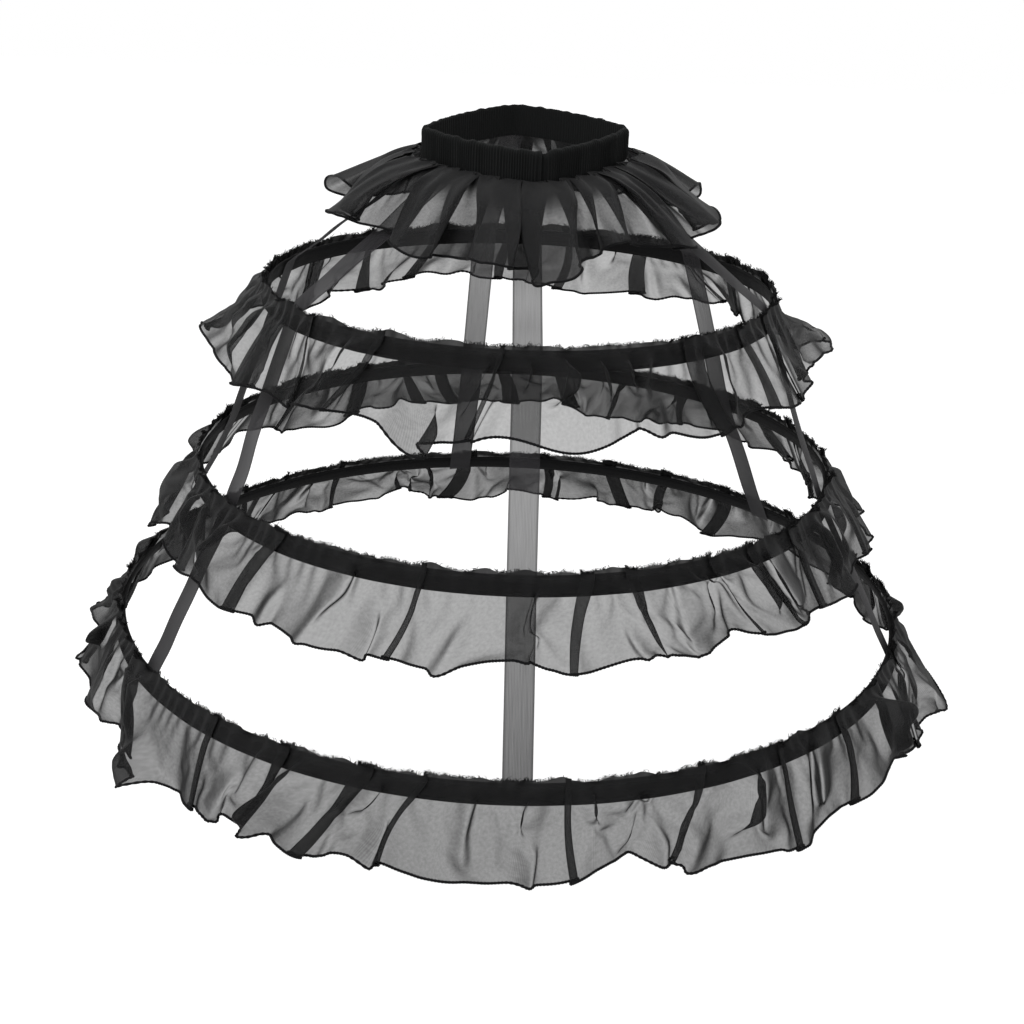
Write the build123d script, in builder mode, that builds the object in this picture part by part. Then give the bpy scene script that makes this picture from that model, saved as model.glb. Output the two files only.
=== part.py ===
"""Crinoline cage: an elastic waistband, three sprung hoops in tape casings, a gathered ruffle
on the waistband and on each hoop, and six ribbons that hang the hoops from the waist.

Millimetres and degrees. The origin is the middle of the waist opening, at the band's upper edge.
+Z is up and -Y is the front. An azimuth starts at the front and grows towards +X.
"""

import os
from math import atan2, cos, degrees, pi, radians, sin, sqrt, tan

from build123d import *

# Waistband, relaxed: a rounded diamond in plan, with its front dipping
waist_width = 190
waist_depth = 168
waist_roundness = 1.3
waist_dip = 6.5
waist_turn = 8
waist_sides = 48
band_height = 30
band_wall = 1.2
band_gather_depth = 2.4
band_gathers = 44
band_gather_steps = 4
elastic_height = 24
elastic_thickness = 1.6
elastic_clearance = 0.3

# Hoops: diameter, and drop below the waist, at the middle of each casing
top_hoop_diameter = 480
top_hoop_drop = 153
middle_hoop_diameter = 615
middle_hoop_drop = 323
bottom_hoop_diameter = 775
bottom_hoop_drop = 470
hoop_join_azimuth = 160

# Boning: flat spring strip, its two ends held in a crimped sleeve
bone_height = 8
bone_thickness = 1.2
bone_end_gap = 2
sleeve_length = 36
sleeve_wall = 0.4
sleeve_clearance = 0.1

# Tape casing sewn flat around the boning
casing_height = 18
casing_wall = 0.8
casing_clearance = 0.2

# Hoop ruffles: sewn over the casing's outer face, with a short raw heading above it
sewn_clearance = 0.3
cloth_thickness = 0.8
ruffle_heading = 4
ruffle_gather_depth = 3
ruffle_drop = 54
top_ruffle_lean = 26
middle_ruffle_lean = 30
bottom_ruffle_lean = 21
ruffle_swell = 14
ruffle_pitch = 98
flute_steps = 6
flute_uneven_share = 0.4
flute_uneven_beat = 2.4

# Waist ruffle: flares from the band's lower edge and lies on the ribbons
waist_ruffle_lap = 5
waist_ruffle_drop = 78
waist_ruffle_diameter = 318
waist_ruffle_dip = 3
waist_ruffle_swell = 34
waist_ruffle_gather_depth = 4
waist_ruffle_flutes = 17

# Ribbons: one long strip each, caught in the waist seam and sewn inside every casing
ribbon_width = 25
ribbon_thickness = 0.8
ribbon_azimuths = {
    "ribbon_front": 2,
    "ribbon_front_right": 74,
    "ribbon_back_right": 131,
    "ribbon_back": 190,
    "ribbon_back_left": 256,
    "ribbon_front_left": 303,
}

# Sizes that follow from the ones above
elastic_channel = elastic_thickness + 2 * elastic_clearance
band_thickness = elastic_channel + 2 * band_wall
sleeve_bore_height = bone_height + 2 * sleeve_clearance
sleeve_bore_thickness = bone_thickness + 2 * sleeve_clearance
sleeve_height = sleeve_bore_height + 2 * sleeve_wall
sleeve_thickness = sleeve_bore_thickness + 2 * sleeve_wall
channel_height = sleeve_height + 2 * casing_clearance
channel_thickness = sleeve_thickness + 2 * casing_clearance
casing_thickness = channel_thickness + 2 * casing_wall
sewn_depth = casing_thickness / 2 + sewn_clearance

# Planes of the waist seam and of the waist ruffle's hem
waist_plane = Plane.XY.rotated((waist_dip, 0, 0))
waist_hem_plane = Plane.XY.rotated((waist_ruffle_dip, 0, 0)).offset(-waist_ruffle_drop)
hoop_join_plane = Plane.XZ.rotated((0, 0, hoop_join_azimuth))


def slope_between(upper, lower):
    """Slant from the vertical, from one hoop's diameter and drop to the next one's."""
    return degrees(atan2((lower[0] - upper[0]) / 2, lower[1] - upper[1]))


top_size = (top_hoop_diameter, top_hoop_drop)
middle_size = (middle_hoop_diameter, middle_hoop_drop)
bottom_size = (bottom_hoop_diameter, bottom_hoop_drop)
upper_slope = slope_between(top_size, middle_size)
lower_slope = slope_between(middle_size, bottom_size)
hoops = {
    "top_hoop": (*top_size, upper_slope),
    "middle_hoop": (*middle_size, (upper_slope + lower_slope) / 2),
    "bottom_hoop": (*bottom_size, lower_slope),
}
ruffle_leans = {"top_hoop": top_ruffle_lean, "middle_hoop": middle_ruffle_lean, "bottom_hoop": bottom_ruffle_lean}


def polar(radius, azimuth):
    """The point of a plan at a radius and an azimuth."""
    return radius * sin(radians(azimuth)), -radius * cos(radians(azimuth))


def waist_radius(azimuth, inset=0):
    """Radius of the waistband's rounded diamond, taken in by an inset."""
    turned = radians(azimuth - waist_turn)
    across = abs(sin(turned)) / (waist_width / 2 - inset)
    along = abs(cos(turned)) / (waist_depth / 2 - inset)
    return (across**waist_roundness + along**waist_roundness) ** (-1 / waist_roundness)


def waist_outline(inset):
    """Points of the waistband's smooth outline, taken in by an inset."""
    azimuths = [360 * side / waist_sides for side in range(waist_sides)]
    return [polar(waist_radius(azimuth, inset), azimuth) for azimuth in azimuths]


def fluted_outline(radius_at, swell, flutes, steps):
    """Points of a closed line of uneven flutes that stand out from a base radius."""
    points = []
    for step in range(flutes * steps):
        azimuth = 360 * step / (flutes * steps)
        unevenness = (1 + sin(flute_uneven_beat * (step // steps))) / 2
        rise = (1 - cos(2 * pi * step / steps)) / 2
        lift = swell * rise * (1 - flute_uneven_share * unevenness)
        points.append(polar(radius_at(azimuth) + lift, azimuth))
    return points


def hoop_point(size, outward, downward):
    """Radius and height of a place on a hoop's slanted side, from the middle of its casing."""
    diameter, drop, slope = size
    lean = radians(slope)
    radius = diameter / 2 + outward * cos(lean) + downward * sin(lean)
    return radius, -drop + outward * sin(lean) - downward * cos(lean)


def ribbon_place(size, downward):
    """Radius and height of a flat ribbon's middle, with its edges against a casing's inner face."""
    edge_radius, height = hoop_point(size, -sewn_depth, downward)
    return sqrt(edge_radius**2 - (ribbon_width / 2) ** 2) - ribbon_thickness / 2, height


def waist_direction(azimuth):
    """Angle of the waistband's line where it crosses an azimuth."""
    x_before, y_before = polar(waist_radius(azimuth - 1), azimuth - 1)
    x_after, y_after = polar(waist_radius(azimuth + 1), azimuth + 1)
    return degrees(atan2(y_after - y_before, x_after - x_before))


os.makedirs("parts", exist_ok=True)

# Waistband casing: a shirred tunnel of cloth, gathered outside and smooth inside
with BuildPart() as waistband_casing:
    with BuildSketch(waist_plane):
        gathered = fluted_outline(waist_radius, band_gather_depth, band_gathers, band_gather_steps)
        Polygon(*gathered, align=None)
        Polygon(*waist_outline(band_thickness), align=None, mode=Mode.SUBTRACT)
    extrude(amount=-band_height)
    with BuildSketch(waist_plane.offset(elastic_clearance - (band_height - elastic_height) / 2)):
        Polygon(*waist_outline(band_wall), align=None)
        Polygon(*waist_outline(band_wall + elastic_channel), align=None, mode=Mode.SUBTRACT)
    extrude(amount=-(elastic_height + 2 * elastic_clearance), mode=Mode.SUBTRACT)
waistband_casing.part.label = "waistband_casing"
export_step(waistband_casing.part, "parts/waistband_casing.step")

# Waist elastic: a flat closed band inside the tunnel
with BuildPart() as waist_elastic:
    with BuildSketch(waist_plane.offset((elastic_height - band_height) / 2)):
        outer_inset = band_wall + elastic_clearance
        Polygon(*waist_outline(outer_inset), align=None)
        Polygon(*waist_outline(outer_inset + elastic_thickness), align=None, mode=Mode.SUBTRACT)
    extrude(amount=-elastic_height)
waist_elastic.part.label = "waist_elastic"
export_step(waist_elastic.part, "parts/waist_elastic.step")

# Waist ruffle: one gathered strip, tight at the seam and fluted at the hem
with BuildPart() as waist_ruffle:
    for inner_offset, mode in ((cloth_thickness, Mode.ADD), (0, Mode.SUBTRACT)):
        with BuildSketch(waist_plane.offset(waist_ruffle_lap - band_height)) as seam:
            seat = band_gather_depth + sewn_clearance + inner_offset
            Polygon(
                *fluted_outline(
                    lambda azimuth: waist_radius(azimuth) + seat,
                    waist_ruffle_gather_depth,
                    waist_ruffle_flutes,
                    flute_steps,
                ),
                align=None,
            )
        with BuildSketch(waist_hem_plane) as hem:
            Polygon(
                *fluted_outline(
                    lambda azimuth: waist_ruffle_diameter / 2 + inner_offset,
                    waist_ruffle_swell,
                    waist_ruffle_flutes,
                    flute_steps,
                ),
                align=None,
            )
        loft(sections=[seam.sketch, hem.sketch], ruled=True, mode=mode)
waist_ruffle.part.label = "waist_ruffle"
export_step(waist_ruffle.part, "parts/waist_ruffle.step")

for hoop, size in hoops.items():
    diameter, drop, slope = size
    end_gap_angle = degrees(bone_end_gap / (diameter / 2))
    sleeve_angle = degrees(sleeve_length / (diameter / 2))

    # Bone: a flat strip bent to a ring, with its ends almost meeting
    with BuildPart() as hoop_bone:
        with BuildSketch(hoop_join_plane.rotated((0, 0, end_gap_angle / 2))):
            with Locations((diameter / 2, -drop)):
                Rectangle(bone_thickness, bone_height, rotation=slope)
        revolve(axis=Axis.Z, revolution_arc=360 - end_gap_angle)
    hoop_bone.part.label = f"{hoop}_bone"
    export_step(hoop_bone.part, f"parts/{hoop}_bone.step")

    # Sleeve: a short flattened tube over the two ends
    with BuildPart() as hoop_sleeve:
        with BuildSketch(hoop_join_plane.rotated((0, 0, -sleeve_angle / 2))):
            with Locations((diameter / 2, -drop)):
                Rectangle(sleeve_thickness, sleeve_height, rotation=slope)
                Rectangle(sleeve_bore_thickness, sleeve_bore_height, rotation=slope, mode=Mode.SUBTRACT)
        revolve(axis=Axis.Z, revolution_arc=sleeve_angle)
    hoop_sleeve.part.label = f"{hoop}_sleeve"
    export_step(hoop_sleeve.part, f"parts/{hoop}_sleeve.step")

    # Casing: a flat tape tunnel all round, leaning with the cage's side
    with BuildPart() as hoop_casing:
        with BuildSketch(Plane.XZ):
            with Locations((diameter / 2, -drop)):
                Rectangle(casing_thickness, casing_height, rotation=slope)
                Rectangle(channel_thickness, channel_height, rotation=slope, mode=Mode.SUBTRACT)
        revolve(axis=Axis.Z)
    hoop_casing.part.label = f"{hoop}_casing"
    export_step(hoop_casing.part, f"parts/{hoop}_casing.step")

    # Ruffle: gathered on the casing, swelling into uneven flutes that clear the ribbons below
    flutes = round(pi * diameter / ruffle_pitch)
    heading = hoop_point(size, sewn_depth, -casing_height / 2 - ruffle_heading)
    foot = hoop_point(size, sewn_depth, casing_height / 2)
    hem = (foot[0] + ruffle_drop * tan(radians(ruffle_leans[hoop])), foot[1] - ruffle_drop)
    levels = ((heading, ruffle_gather_depth), (foot, ruffle_gather_depth), (hem, ruffle_swell))
    with BuildPart() as hoop_ruffle:
        for inner_offset, mode in ((cloth_thickness, Mode.ADD), (0, Mode.SUBTRACT)):
            sections = []
            for (radius, height), swell in levels:
                with BuildSketch(Plane.XY.offset(height)) as section:
                    base = radius + inner_offset
                    Polygon(*fluted_outline(lambda azimuth: base, swell, flutes, flute_steps), align=None)
                sections.append(section.sketch)
            loft(sections=sections, ruled=True, mode=mode)
    hoop_ruffle.part.label = f"{hoop}_ruffle"
    export_step(hoop_ruffle.part, f"parts/{hoop}_ruffle.step")

# Ribbons: each leaves the waist seam and passes flat inside the three casings
for label, azimuth in ribbon_azimuths.items():
    with BuildPart() as ribbon:
        with BuildSketch(waist_plane.offset(-band_height - sewn_clearance)) as seam:
            seam_point = polar(waist_radius(azimuth, band_thickness / 2), azimuth)
            with Locations(Location(seam_point, waist_direction(azimuth))):
                Rectangle(ribbon_width, ribbon_thickness)
        sections = [seam.sketch]
        for size in hoops.values():
            for downward in (-casing_height / 2, casing_height / 2):
                radius, height = ribbon_place(size, downward)
                with BuildSketch(Plane.XY.offset(height)) as crossing:
                    with Locations(Location(polar(radius, azimuth), azimuth)):
                        Rectangle(ribbon_width, ribbon_thickness)
                sections.append(crossing.sketch)
        loft(sections=sections, ruled=True)
    ribbon.part.label = label
    export_step(ribbon.part, f"parts/{label}.step")
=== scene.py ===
"""Looks of the crinoline cage: sheer pleated ruffles, ribbons, a shirred waistband, light and camera.

Metres and radians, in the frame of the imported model: the origin is the middle of the waist opening,
+Z is up and -Y is the front. An azimuth starts at the front and grows towards +X.
"""

import math

import bpy
import numpy as np
from mathutils import Matrix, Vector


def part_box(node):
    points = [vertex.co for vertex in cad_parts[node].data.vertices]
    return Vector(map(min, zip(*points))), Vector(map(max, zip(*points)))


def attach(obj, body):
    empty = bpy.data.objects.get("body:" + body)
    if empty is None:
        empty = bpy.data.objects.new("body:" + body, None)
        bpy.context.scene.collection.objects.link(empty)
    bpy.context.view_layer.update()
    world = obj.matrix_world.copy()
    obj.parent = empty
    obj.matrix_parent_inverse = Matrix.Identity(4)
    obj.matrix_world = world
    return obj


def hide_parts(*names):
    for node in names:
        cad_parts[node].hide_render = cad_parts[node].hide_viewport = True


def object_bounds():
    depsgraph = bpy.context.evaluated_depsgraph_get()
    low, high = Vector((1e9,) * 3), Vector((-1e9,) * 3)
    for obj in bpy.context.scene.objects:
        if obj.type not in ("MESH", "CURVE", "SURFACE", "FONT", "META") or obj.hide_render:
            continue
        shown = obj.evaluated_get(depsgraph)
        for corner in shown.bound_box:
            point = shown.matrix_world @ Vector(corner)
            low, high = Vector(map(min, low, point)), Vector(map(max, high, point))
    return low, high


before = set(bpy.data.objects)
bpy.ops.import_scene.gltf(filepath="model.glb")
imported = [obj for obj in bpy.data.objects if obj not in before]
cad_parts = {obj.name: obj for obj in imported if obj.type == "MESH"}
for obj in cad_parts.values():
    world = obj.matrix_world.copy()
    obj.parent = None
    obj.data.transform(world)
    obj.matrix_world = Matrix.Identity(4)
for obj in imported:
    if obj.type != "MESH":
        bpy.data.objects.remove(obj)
cad_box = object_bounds()

# Camera, fitted to the hoops: focal length in pixels of a 1024-pixel frame
IMAGE_PIXELS = 1024
FOCAL_PIXELS = 1585.0
SENSOR_MM = 36.0
CAMERA_PLACE = (0.0005, -1.4824, 0.2131)
CAMERA_PITCH = math.radians(21.86)
CAMERA_ROLL = math.radians(2.21)

# Construction sizes shared with the solids
CASING_HEIGHT = 0.018
CASING_THICKNESS = 0.0042
RIBBON_WIDTH = 0.025
WAIST_WIDTH = 0.190
WAIST_DEPTH = 0.168
WAIST_ROUNDNESS = 1.3
WAIST_TURN = math.radians(8)
WAIST_DIP = math.radians(6.5)
BAND_HEIGHT = 0.030
BAND_THICKNESS = 0.0046
RIBBON_AZIMUTHS = {
    "ribbon_front": 2,
    "ribbon_front_right": 74,
    "ribbon_back_right": 131,
    "ribbon_back": 190,
    "ribbon_back_left": 256,
    "ribbon_front_left": 303,
}

# Gathered cloth of the hoops. A pair of rows holds the lengths below the stitching between which something
# changes
CLOTH_STEP = 0.0034
SEWN_GAP = 0.0008
FRILL_GAP = 0.0015
LAYER_GAP = 0.0014
STITCH_RISE = 0.006
HEADING = 0.006
HEADING_UNEVEN_SHARE = 0.28
FREE_LENGTH = 0.056
FREE_LEANS = {"top_hoop": 27, "middle_hoop": 29, "bottom_hoop": 22}
LEAN_ROWS = (0.010, 0.030)
GATHER_ROWS = (0.012, 0.045)
GATHER_PITCH = 0.015
GATHER_DEPTH = 0.0026
GATHER_UNEVEN = 2.4
HEM_DEPTH = 0.006
RUFFLE_SWELL = 0.014
RUFFLE_PITCH = 0.098
FLUTE_UNEVEN_SHARE = 0.4
FLUTE_UNEVEN_BEAT = 2.4
PATH_SAMPLES = 2880
PROFILE_SAMPLES = 600
CORNER_SHARE = 0.010

# Pleats read from the photo: azimuth at the casing and at the hem, width at each in millimetres,
# and which way the pleat turns
SEEN_PLEATS = {
    "top_hoop": (
        (-58, -58, 24, 26, 1),
        (-47, -45, 8, 9, -1),
        (-28, -34, 10, 8, -1),
        (-3, -8, 5, 6, -1),
        (37, 40, 20, 18, 1),
        (52, 54, 12, 14, 1),
        (64, 65, 10, 12, 1),
    ),
    "middle_hoop": (
        (-68, -67, 10, 12, 1),
        (-60, -60, 9, 11, 1),
        (-39.5, -43, 16, 15, -1),
        (-13, -16.5, 6, 7, -1),
        (12, 9, 11, 8, -1),
        (19, 22.5, 12, 3, 1),
        (33, 40, 5, 6, 1),
        (41.5, 46, 11, 12, 1),
        (53, 55, 16, 14, 1),
        (63, 64, 12, 12, -1),
    ),
    "bottom_hoop": (
        (-71, -68, 11, 14, 1),
        (-60, -54, 15, 20, 1),
        (-39, -38, 8, 12, -1),
        (-27.5, -31, 12, 6, -1),
        (-16.5, -22.5, 16, 13, -1),
        (-9, -13.5, 6, 6, -1),
        (8, 8, 6, 10, 1),
        (25, 19.5, 7, 6, -1),
        (37, 36, 9, 10, 1),
        (49, 47, 11, 12, 1),
        (60, 60, 12, 12, -1),
    ),
}
SEEN_WIDTH_SHARE = 1.2
UNSEEN_SPACING = (0.042, 0.100)
UNSEEN_WIDTH = (0.008, 0.024)
UNSEEN_LEAN = 6
PLEAT_BOW = 0.006
PLEAT_EASE = 0.02
FOLD_STEP_SHARE = 0.8
PANEL_FULL_LENGTH = 0.09
PANEL_LOPSIDED = (0.65, 1.5)

# Soft folds within a panel: where they stand, how they lean, and the shares of the drop where they fade
RIDGE_SPACING = 0.024
RIDGE_HALF_WIDTHS = (0.006, 0.015)
RIDGE_STEEPNESS = (0.5, 1.45)
RIDGE_SLANT = 0.14
RIDGE_PLACES = (0.06, 0.94)
RIDGE_SWAY = 1.3
RIDGE_UPPER_CHANCE = 0.65
RIDGE_ENDS = (0.55, 1.05)
RIDGE_STARTS = (0.2, 0.55)

# Gathered cloth of the waist
WAIST_LENGTH = 0.090
WAIST_LAP = 0.0055
WAIST_SEAM_GAP = 0.0035
WAIST_FAN_SHARE = 0.3
WAIST_HEM_RADIUS = 0.159
WAIST_HEM_DROP = 0.078
WAIST_HEM_DIP = math.radians(3)
WAIST_PUFF = 0.007
WAIST_DROOP = 0.009
WAIST_GATHER_PITCH = 0.019
WAIST_GATHER_DEPTH = 0.007
WAIST_GATHER_UNEVEN = 2.0
WAIST_FLUTES = 17
HEM_SPREAD = 1.75
FLUTE_COLUMNS = 1.6
FLUTE_SIZES = (0.65, 1.4)
FLUTE_LEAN_SHARE = 0.3
FLUTE_BOW_SHARE = 0.25
FLUTE_SEAM_OVERLAP = 4.4
FLUTE_HEM_OVERLAPS = (0.6, 3.2)
FLUTE_SEAM_REACH = 0.005
FLUTE_REACHES = (0.012, 0.038)
FLUTE_PUFFS = (0.0, 0.008)
FLUTE_PUFF_POWERS = (0.5, 0.9)
FLUTE_LIFTS = (-0.012, 0.026)
CRIMP_COLUMNS = (5.0, 9.0)
CRIMP_DEPTH = 0.007
CRIMP_ENDS = (0.5, 1.1)


def smoothstep(low, high, value):
    """0 below low, 1 above high, and smooth between."""
    share = np.clip((value - low) / (high - low), 0, 1)
    return share * share * (3 - 2 * share)


def polar(radius, azimuth):
    """Plan points at radii and azimuths, as an array of x, y, z rows."""
    return np.stack([radius * np.sin(azimuth), -radius * np.cos(azimuth), np.zeros_like(azimuth)], axis=-1)


def unit(vectors):
    """Vectors at a length of one."""
    return vectors / np.maximum(np.linalg.norm(vectors, axis=-1, keepdims=True), 1e-12)


def wander(random, length, shortest, longest, parts=6):
    """A smooth uneven wave between about -1 and 1 that closes after a length."""
    turns = 2 * math.pi * np.round(length / random.uniform(shortest, longest, parts)) / length
    phases = random.uniform(0, 2 * math.pi, parts)

    def wave(walked):
        return sum(np.sin(turn * walked + phase) for turn, phase in zip(turns, phases)) / math.sqrt(parts)

    return wave


class Hoop:
    """Middle radius, height and slope of a casing, read from the frame."""

    def __init__(self, name):
        low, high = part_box(f"{name}_casing")
        self.name = name
        self.outer_radius = (high[0] - low[0]) / 2
        self.height = (high[2] + low[2]) / 2

    def lean(self, slope):
        """Set the slope, and the middle radius that goes with it."""
        self.slope = slope
        depth = CASING_THICKNESS * math.cos(slope) + CASING_HEIGHT * math.sin(slope)
        self.radius = self.outer_radius - depth / 2

    def side_point(self, outward, downward):
        """Radius and height of a place on the casing's slanted side."""
        radius = self.radius + outward * math.cos(self.slope) + downward * math.sin(self.slope)
        return radius, self.height + outward * math.sin(self.slope) - downward * math.cos(self.slope)


def slope_between(upper, lower):
    """Slant from the vertical between two hoops."""
    return math.atan2(lower.outer_radius - upper.outer_radius, upper.height - lower.height)


hoops = [Hoop(name) for name in ("top_hoop", "middle_hoop", "bottom_hoop")]
top_hoop, middle_hoop, bottom_hoop = hoops
upper_slope = slope_between(top_hoop, middle_hoop)
lower_slope = slope_between(middle_hoop, bottom_hoop)
top_hoop.lean(upper_slope)
middle_hoop.lean((upper_slope + lower_slope) / 2)
bottom_hoop.lean(lower_slope)


def waist_radius(azimuth, inset=0.0):
    """Radius of the waistband's rounded diamond, taken in by an inset."""
    turned = azimuth - WAIST_TURN
    across = np.abs(np.sin(turned)) / (WAIST_WIDTH / 2 - inset)
    along = np.abs(np.cos(turned)) / (WAIST_DEPTH / 2 - inset)
    return (across**WAIST_ROUNDNESS + along**WAIST_ROUNDNESS) ** (-1 / WAIST_ROUNDNESS)


def dipped(points, dip=WAIST_DIP):
    """Points of a level plane, tipped so that the front dips."""
    cosine, sine = math.cos(dip), math.sin(dip)
    x, y, z = points[..., 0], points[..., 1], points[..., 2]
    return np.stack([x, cosine * y - sine * z, sine * y + cosine * z], axis=-1)


class ClosedPath:
    """A closed plan line that is walked by its length, with outward directions that may fan out."""

    def __init__(self, radius_at, radial_share=0.0, corner_share=CORNER_SHARE):
        self.azimuth = np.linspace(0, 2 * math.pi, PATH_SAMPLES + 1)
        radius = radius_at(self.azimuth[:-1])
        reach = round(PATH_SAMPLES * corner_share)
        radius = sum(np.roll(radius, shift) for shift in range(-reach, reach + 1)) / (2 * reach + 1)
        self.points = polar(np.append(radius, radius[0]), self.azimuth)
        steps = np.linalg.norm(np.diff(self.points, axis=0), axis=1)
        self.walked = np.concatenate([[0.0], np.cumsum(steps)])
        self.length = self.walked[-1]
        tangent = np.gradient(self.points, axis=0)
        tangent[0] = tangent[-1] = tangent[1] + tangent[-2]
        outward = unit(np.stack([tangent[:, 1], -tangent[:, 0], np.zeros(len(tangent))], axis=1))
        self.outward = unit((1 - radial_share) * outward + radial_share * unit(self.points))

    def walk_to(self, azimuth):
        """Length walked from the front to an azimuth."""
        turns = math.floor(azimuth / (2 * math.pi))
        return turns * self.length + np.interp(azimuth - turns * 2 * math.pi, self.azimuth, self.walked)

    def at(self, walked):
        """Places and outward directions at lengths walked along the line."""
        wrapped = np.mod(walked, self.length)
        columns = [np.interp(wrapped, self.walked, self.points[:, axis]) for axis in range(3)]
        outward = [np.interp(wrapped, self.walked, self.outward[:, axis]) for axis in range(3)]
        return np.stack(columns, axis=-1), np.stack(outward, axis=-1)


def add_object(name, data):
    """A new object in the scene."""
    thing = bpy.data.objects.new(name, data)
    bpy.context.collection.objects.link(thing)
    return thing


def mesh_object(name, vertices, faces, material):
    """A new smooth mesh object in the part's frame."""
    mesh = bpy.data.meshes.new(name)
    mesh.from_pydata(np.asarray(vertices).tolist(), [], faces)
    mesh.update()
    mesh.shade_smooth()
    mesh.materials.append(material)
    return add_object(name, mesh)


def grid_faces(columns, rows, closed, looped=False):
    """Quads of a grid whose vertices run down each column in turn. A looped grid also joins its last row to
    its first."""
    faces = []
    for column in range(columns if closed else columns - 1):
        after = (column + 1) % columns
        for row in range(rows if looped else rows - 1):
            below = (row + 1) % rows
            here, beside = column * rows, after * rows
            faces.append((here + row, here + below, beside + below, beside + row))
    return faces


def tube(name, points, material):
    """A closed tube, from points by column and then round each section."""
    columns, sides = points.shape[:2]
    return mesh_object(name, points.reshape(-1, 3), grid_faces(columns, sides, True, looped=True), material)


def set_cloth_map(piece, across, along):
    """Store each vertex's place on the flat cloth as a UV map in metres."""
    layer = piece.data.uv_layers.new(name="cloth")
    index = np.empty(len(piece.data.loops), dtype=np.int32)
    piece.data.loops.foreach_get("vertex_index", index)
    values = np.stack([across[index], along[index]], axis=1)
    layer.data.foreach_set("uv", values.astype(np.float32).ravel())


def profile(rows, seam_lean, free_lean):
    """Outward and upward places of a strip's middle surface, at lengths below its stitching."""
    fine = np.linspace(rows[0], rows[-1], PROFILE_SAMPLES)
    lean = seam_lean + (free_lean - seam_lean) * smoothstep(*LEAN_ROWS, fine)
    steps = np.diff(fine, prepend=fine[0])
    out = np.cumsum(np.sin(lean) * steps)
    up = -np.cumsum(np.cos(lean) * steps)
    out -= np.interp(0.0, fine, out)
    up -= np.interp(0.0, fine, up)
    return np.interp(rows, fine, out), np.interp(rows, fine, up)


class Pleat:
    """A fold of three layers: its places along the path and its widths, at the stitching and at the hem."""

    def __init__(self, seam_walk, hem_walk, seam_width, hem_width, turn, bow):
        self.walks = (seam_walk, hem_walk)
        self.widths = (seam_width, hem_width)
        self.bow = bow
        self.first_stand = 0.0 if turn > 0 else 2 * LAYER_GAP
        self.last_stand = 2 * LAYER_GAP - self.first_stand

    def spread(self, share):
        """Middles and widths at shares of the way down."""
        middle = self.walks[0] + (self.walks[1] - self.walks[0]) * share
        width = self.widths[0] + (self.widths[1] - self.widths[0]) * share
        return middle + self.bow * np.sin(math.pi * share), width


def hoop_pleats(hoop, path, random):
    """The pleats seen in the photo, and uneven ones over the rest of the hoop."""
    pleats = []
    for seam, hem, seam_width, hem_width, turn in SEEN_PLEATS[hoop.name]:
        walks = [path.length * azimuth / 360 for azimuth in (seam, hem)]
        widths = [SEEN_WIDTH_SHARE * width / 1000 for width in (seam_width, hem_width)]
        pleats.append(Pleat(*walks, *widths, turn, PLEAT_BOW * random.uniform(-1, 1)))
    place = pleats[-1].walks[0] + random.uniform(*UNSEEN_SPACING)
    end = pleats[0].walks[0] + path.length
    while place < end - UNSEEN_SPACING[0]:
        lean = path.length / 360 * random.uniform(-UNSEEN_LEAN, UNSEEN_LEAN)
        widths = random.uniform(*UNSEEN_WIDTH, 2)
        bow = PLEAT_BOW * random.uniform(-1, 1)
        pleats.append(Pleat(place, place + lean, *widths, random.choice((-1, 1)), bow))
        place += random.uniform(*UNSEEN_SPACING)
    return pleats


class Ridge:
    """A soft fold that leans over in a panel and fades out up or down it."""

    def __init__(self, share, first, free, random):
        slant = random.uniform(-RIDGE_SLANT, RIDGE_SLANT)
        self.middle = first + free * (random.uniform(*RIDGE_PLACES) + slant * (share - 0.3))
        self.half_width = random.uniform(*RIDGE_HALF_WIDTHS)
        self.height = self.half_width * random.uniform(*RIDGE_STEEPNESS)
        self.sway = self.height * random.uniform(-RIDGE_SWAY, RIDGE_SWAY)
        if random.uniform() < RIDGE_UPPER_CHANCE:
            end = random.uniform(*RIDGE_ENDS)
            self.strength = smoothstep(0.0, 0.15, share) * (1 - smoothstep(end - 0.35, end, share))
        else:
            start = random.uniform(*RIDGE_STARTS)
            self.strength = smoothstep(start, start + 0.4, share)

    def crest(self, gone):
        """How much of the fold stands at lengths gone along the panel."""
        away = np.clip((gone - self.middle) / self.half_width, -1, 1)
        return np.cos(away * math.pi / 2) ** 2 * self.strength


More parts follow.
